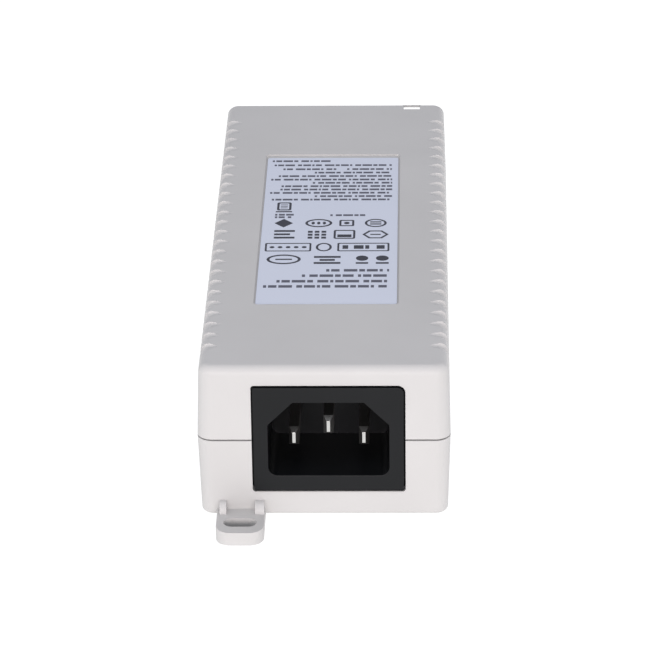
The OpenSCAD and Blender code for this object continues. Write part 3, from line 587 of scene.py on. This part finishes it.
def make_sockets():
    for name, body in (("data", "data_contacts"), ("power", "power_contacts")):
        refined(
            f"{name}_jack_shield", f"{name}_shield", JACK_STEEL, edge=0.08, split_faces=True
        )
        refined(
            f"{name}_jack_insulator", f"{name}_insulator", JACK_BLACK, edge=0.08,
            split_faces=True,
        )
        refined(f"{name}_jack_contacts", f"{name}_springs", GOLD, body, edge=0)
        low, high = box_mm(f"{name}_jack_contacts")
        # The comb that keeps the springs apart, behind their roots
        comb = bmesh.new()
        pitch = (high.x - low.x - 0.6) / 7
        for i in range(9):
            x = low.x + 0.3 + (i - 0.5) * pitch
            add_box(comb, x - 0.12, x + 0.12, high.y - 1.6, high.y + 0.5, low.z - 0.28, low.z + 0.65)
        soften(put(new_object(f"{name}_comb", comb), JACK_BLACK), 0.04, 1)
    refined("jack_tails", "solder_tails", GOLD, edge=0.05)
    refined("status_leds", "led_lights", LED, edge=0.08)
    refined("light_pipes", "clear_pipes", CLEAR, edge=0.12)


# ---- circuit board and its parts

# Where each part's leads stand, measured from the middle of the part
LEADS = (
    ("fuse_caps", ((0, -3.8), (0, 3.8))),
    ("surge_varistor", ((-0.9, -2.5), (0.9, 2.5))),
    ("safety_capacitor", ((-2.5, 0), (2.5, 0))),
    ("bridge_rectifier", ((-5.65, 0), (-1.85, 0), (1.95, 0), (5.75, 0))),
    ("switching_transistor", ((0, -2.54), (0, 0), (0, 2.54))),
    ("output_diode", ((0, -2.54), (0, 0), (0, 2.54))),
)


def make_board():
    refined("circuit_board", "board", BOARD, edge=0.06, segments=1)
    refined("insulation_sheet", "film_sheet", SHEET, edge=0.05, segments=1)
    refined("board_screws", "board_fixings", STEEL, edge=0.08)
    top = box_mm("circuit_board")[1].z

    # Tracks on the board's upper face: straight runs with square corners
    tracks = bmesh.new()
    z0, z1 = top - 0.005, top + 0.02
    for i, (x, y0, y1) in enumerate((
        (-13, -52, -44), (-10, -54, -42), (4, -52, -44), (7, -54, -43), (13.5, -44, -18), (-3, -28, -14),
        (-13.8, -5, 12), (-12.6, -2, 14), (14.2, -4, 18), (15.6, 0, 20), (-2.6, 28, 36), (8.6, 28, 30),
        (-8.6, 38.5, 49), (8.8, 38.5, 49), (10, 41, 49.5), (-10, 41, 49.5),
    )):
        wide = 0.9 if y0 < -10 else 0.35
        add_box(tracks, x - wide / 2, x + wide / 2, y0, y1, z0, z1)
        reach = 3.2 if i % 2 else -3.2
        add_box(tracks, min(x, x + reach), max(x, x + reach), y1 - wide, y1, z0, z1)
    put(new_object("board_tracks", tracks), TRACK)

    # Solder pads round the leads of the through-hole parts
    pads = bmesh.new()
    for node, spots in LEADS:
        low, high = box_mm(node)
        middle = (low + high) / 2
        for dx, dy in spots:
            add_lathe(pads, ((0.85, 0.0), (0.8, 0.06), (0.45, 0.25), (0, 0.4)),
                      (middle.x + dx, middle.y + dy, top), steps=16)
    put(new_object("solder_pads", pads), SOLDER).data.shade_smooth()


def make_can(node, name, count, top_r):
    """Electrolytic capacitors: a printed sleeve rolled over an aluminium can with a scored top."""
    low, high = box_mm(node)
    radius = (high.y - low.y) / 2
    tall = high.z - low.z
    sleeve, metal, stripe = bmesh.new(), bmesh.new(), bmesh.new()
    for i in range(count):
        x = (low.x + high.x) / 2 if count == 1 else (low.x + radius, high.x - radius)[i]
        place = (x, (low.y + high.y) / 2, low.z)
        add_lathe(sleeve, (
            (0, 0), (radius - 0.7, 0), (radius - 0.2, 0.15), (radius, 0.6), (radius, 1.3),
            (radius - 0.15, 1.6), (radius - 0.42, 1.85), (radius - 0.15, 2.1), (radius, 2.4),
            (radius, tall - 0.8), (radius - 0.1, tall - 0.35), (radius - 0.4, tall - 0.08),
            (radius - 0.8, tall), (radius - 1.3, tall - 0.03), (radius - 1.4, tall - 0.28),
        ), place, steps=64)
        add_lathe(metal, ((radius - 1.35, tall - 0.4), (radius - 1.4, tall - 0.26), (0, tall - 0.26)),
                  place, steps=64)
        # Scores across the vent
        for turn in (0, 90):
            a = Matrix.Rotation(math.radians(turn + 45), 3, "Z")
            bar = bmesh.new()
            add_box(bar, -top_r, top_r, -0.12, 0.12, tall - 0.27, tall - 0.235)
            for v in bar.verts:
                v.co = a @ v.co + Vector(place) * MM
            mesh = bpy.data.meshes.new("score")
            bar.to_mesh(mesh)
            bar.free()
            stripe.from_mesh(mesh)
            bpy.data.meshes.remove(mesh)
    case = put(new_object(name + "_sleeve", sleeve), SLEEVE, replaces=[node])
    case.data.shade_smooth()
    # The pale stripe beside the negative lead
    for face in case.data.polygons:
        c = face.center / MM
        x = (low.x + high.x) / 2 if count == 1 else (low.x + radius if c.x < 0 else high.x - radius)
        if abs(c.x - x) < radius * 0.25 and c.y < (low.y + high.y) / 2 and 2.4 < c.z - low.z < tall - 1:
            face.material_index = 1
    case.data.materials.append(STRIPE)
    put(new_object(name + "_tops", metal), ALUMINIUM)
    put(new_object(name + "_scores", stripe), STEEL)


def make_choke():
    """A ferrite ring with two open windings of thick wire, in a moulded saddle."""
    refined("filter_choke_core", "choke_ring", FERRITE, edge=0.5, segments=3)
    refined("filter_choke_base", "choke_saddle", PARTS_BLACK, edge=0.15)
    low, high = box_mm("filter_choke_winding")
    core_low, core_high = box_mm("filter_choke_core")
    cx, cy, cz = (core_low + core_high) / 2
    outer, hole, half = (core_high.x - core_low.x) / 2, 3.6, (core_high.y - core_low.y) / 2
    wire = 0.4
    coil = bmesh.new()
    for side in (0, 1):
        turns, steps = 9, 26
        path = []
        for k in range(turns * steps + 1):
            t = k / (turns * steps)
            around = math.radians(-58 + 116 * t) + math.pi * side
            a = 2 * math.pi * k / steps
            # A rounded rectangle round the ring's section
            reach = [math.copysign(abs(f(a)) ** 0.45, f(a)) for f in (math.cos, math.sin)]
            radial = (outer + hole) / 2 + reach[0] * ((outer - hole) / 2 + wire + 0.02)
            along = reach[1] * (half + wire + 0.02)
            path.append((cx + radial * math.cos(around), cy + along, cz + radial * math.sin(around)))
        add_tube(coil, path, wire, 8)
    piece = put(new_object("choke_wire", coil), COPPER, replaces=["filter_choke_winding"])
    piece.data.shade_smooth()


def make_transformer():
    refined("transformer_core", "ferrite_core", FERRITE, edge=0.25)
    coil = refined("transformer_winding", "wound_bobbin", TAPE, edge=0.2)
    low, high = box_mm("transformer_winding")
    core_low, core_high = box_mm("transformer_core")
    tint(coil, PARTS_BLACK, lambda c: c.z < low.z + 5.45)
    # Turns of tape that overlap round the coil, on its two open sides
    wraps = bmesh.new()
    middle = (core_low + core_high) / 2
    half_x = (core_high.x - core_low.x) / 2 - 3.4
    half_y = (high.y - low.y) / 2 - 1
    for k, (z0, z1) in enumerate(((7.0, 9.4), (9.2, 11.8), (11.6, 14.0))):
        out = 0.03 + 0.03 * (k % 2)
        for s in (-1, 1):
            y0, y1 = sorted((middle.y + s * (half_y - 0.3), middle.y + s * (half_y + out)))
            add_box(wraps, middle.x - half_x, middle.x + half_x, y0, y1, low.z + z0, low.z + z1)
    soften(put(new_object("tape_wraps", wraps), TAPE), 0.02, 1)
    # Bobbin pins along both edges
    pins = bmesh.new()
    for s in (-1, 1):
        for i in range(6):
            x = middle.x + (i - 2.5) * 3.4
            add_tube(pins, ((x, middle.y + s * 8, low.z - 0.4), (x, middle.y + s * 8, low.z + 1.0)), 0.35, 10)
    put(new_object("bobbin_pins", pins), SOLDER).data.shade_smooth()


def make_discs():
    """Lacquered discs on two wires."""
    kinds = (("surge_varistor", "varistor", "X"), ("safety_capacitor", "disc_capacitor", "Y"))
    for node, name, axis in kinds:
        low, high = box_mm(node)
        middle = (low + high) / 2
        thick = (high.x - low.x if axis == "X" else high.y - low.y) / 2
        radius = (high.y - low.y if axis == "X" else high.x - low.x) / 2
        disc = bmesh.new()
        profile = [(0, -thick)] + [
            (radius * 0.72 + radius * 0.28 * math.sin(a), -thick * math.cos(a))
            for a in (math.pi * k / 12 for k in range(13))
        ] + [(0, thick)]
        add_lathe(disc, profile, (middle.x, middle.y, high.z - radius), axis, 56)
        for dx, dy in dict(LEADS)[node]:
            x, y = middle.x + dx, middle.y + dy
            end = (middle.x + dx * 0.8, middle.y + dy * 0.8, low.z + 4)
            add_tube(disc, ((x, y, low.z), (x, y, low.z + 2), end), 0.34, 10)
        piece = put(new_object(name, disc), BLUE, replaces=[node])
        piece.data.shade_smooth()
        tint(piece, SOLDER, lambda c: c.z < low.z + 1.3)


def make_power_parts():
    """Parts with flat legs below a moulded body, two of them with a metal tab above."""
    kinds = (
        ("bridge_rectifier", "rectifier", 2.45, None),
        ("switching_transistor", "transistor", 3.45, 12.6),
        ("output_diode", "diode", 3.45, 12.6),
    )
    for node, name, leg_h, tab_h in kinds:
        low = box_mm(node)[0]
        piece = refined(node, name, PARTS_BLACK, edge=0.12)
        tint(piece, SOLDER, lambda c: c.z < low.z + leg_h)
        if tab_h:
            tint(piece, ALUMINIUM, lambda c: c.z > low.z + tab_h)
    for node, name in (("primary_heatsink", "first_heatsink"), ("output_heatsink", "second_heatsink")):
        refined(node, name, ALUMINIUM, edge=0.1)


def make_chips():
    """Chips with two rows of legs, and a dot beside the first leg."""
    kinds = (
        ("control_chip", "control_chip_body"), ("optocoupler", "optocoupler_body"),
        ("power_controller", "controller_body"), ("data_transformer", "data_transformer_body"),
    )
    for node, name in kinds:
        low, high = box_mm(node)
        piece = refined(node, name, PARTS_BLACK, edge=0.03, segments=1)
        tint(piece, SOLDER, lambda c: min(c.x - low.x, high.x - c.x) < 1.05)
        dot = bmesh.new()
        place = (low.x + 2.1, high.y - 0.9, high.z)
        add_lathe(dot, ((0.35, -0.01), (0.35, 0.01), (0, 0.01)), place, steps=20)
        put(new_object(name + "_dot", dot), STRIPE)


def make_output_choke():
    low, high = box_mm("output_choke")
    refined("output_choke", "drum_core", FERRITE, edge=0.2)
    turns = bmesh.new()
    for k in range(9):
        ring = ellipse((low.x + high.x) / 2, (low.y + high.y) / 2, 3.7, 3.7, 40)
        circle = [(x, y, low.z + 2.05 + 0.62 * k) for x, y in ring]
        add_tube(turns, circle + circle[:1], 0.3, 8)
    put(new_object("drum_wire", turns), COPPER).data.shade_smooth()


def make_parts():
    refined("mains_fuse", "fuse_tube", CERAMIC, edge=0.05)
    refined("fuse_caps", "fuse_ends", PINS, edge=0.15)
    make_discs()
    refined("mains_capacitor", "film_capacitor", YELLOW, edge=0.35, segments=3)
    make_power_parts()
    make_chips()
    make_can("bulk_capacitor", "bulk", 1, 4.2)
    make_can("output_capacitors", "output", 2, 2.2)
    make_output_choke()
    refined("surface_resistors", "small_parts", PARTS_BLACK, edge=0.04, segments=1)


make_camera()
make_studio()
make_case()
make_label()
make_inlet()
make_sockets()
make_board()
make_choke()
make_transformer()
make_parts()
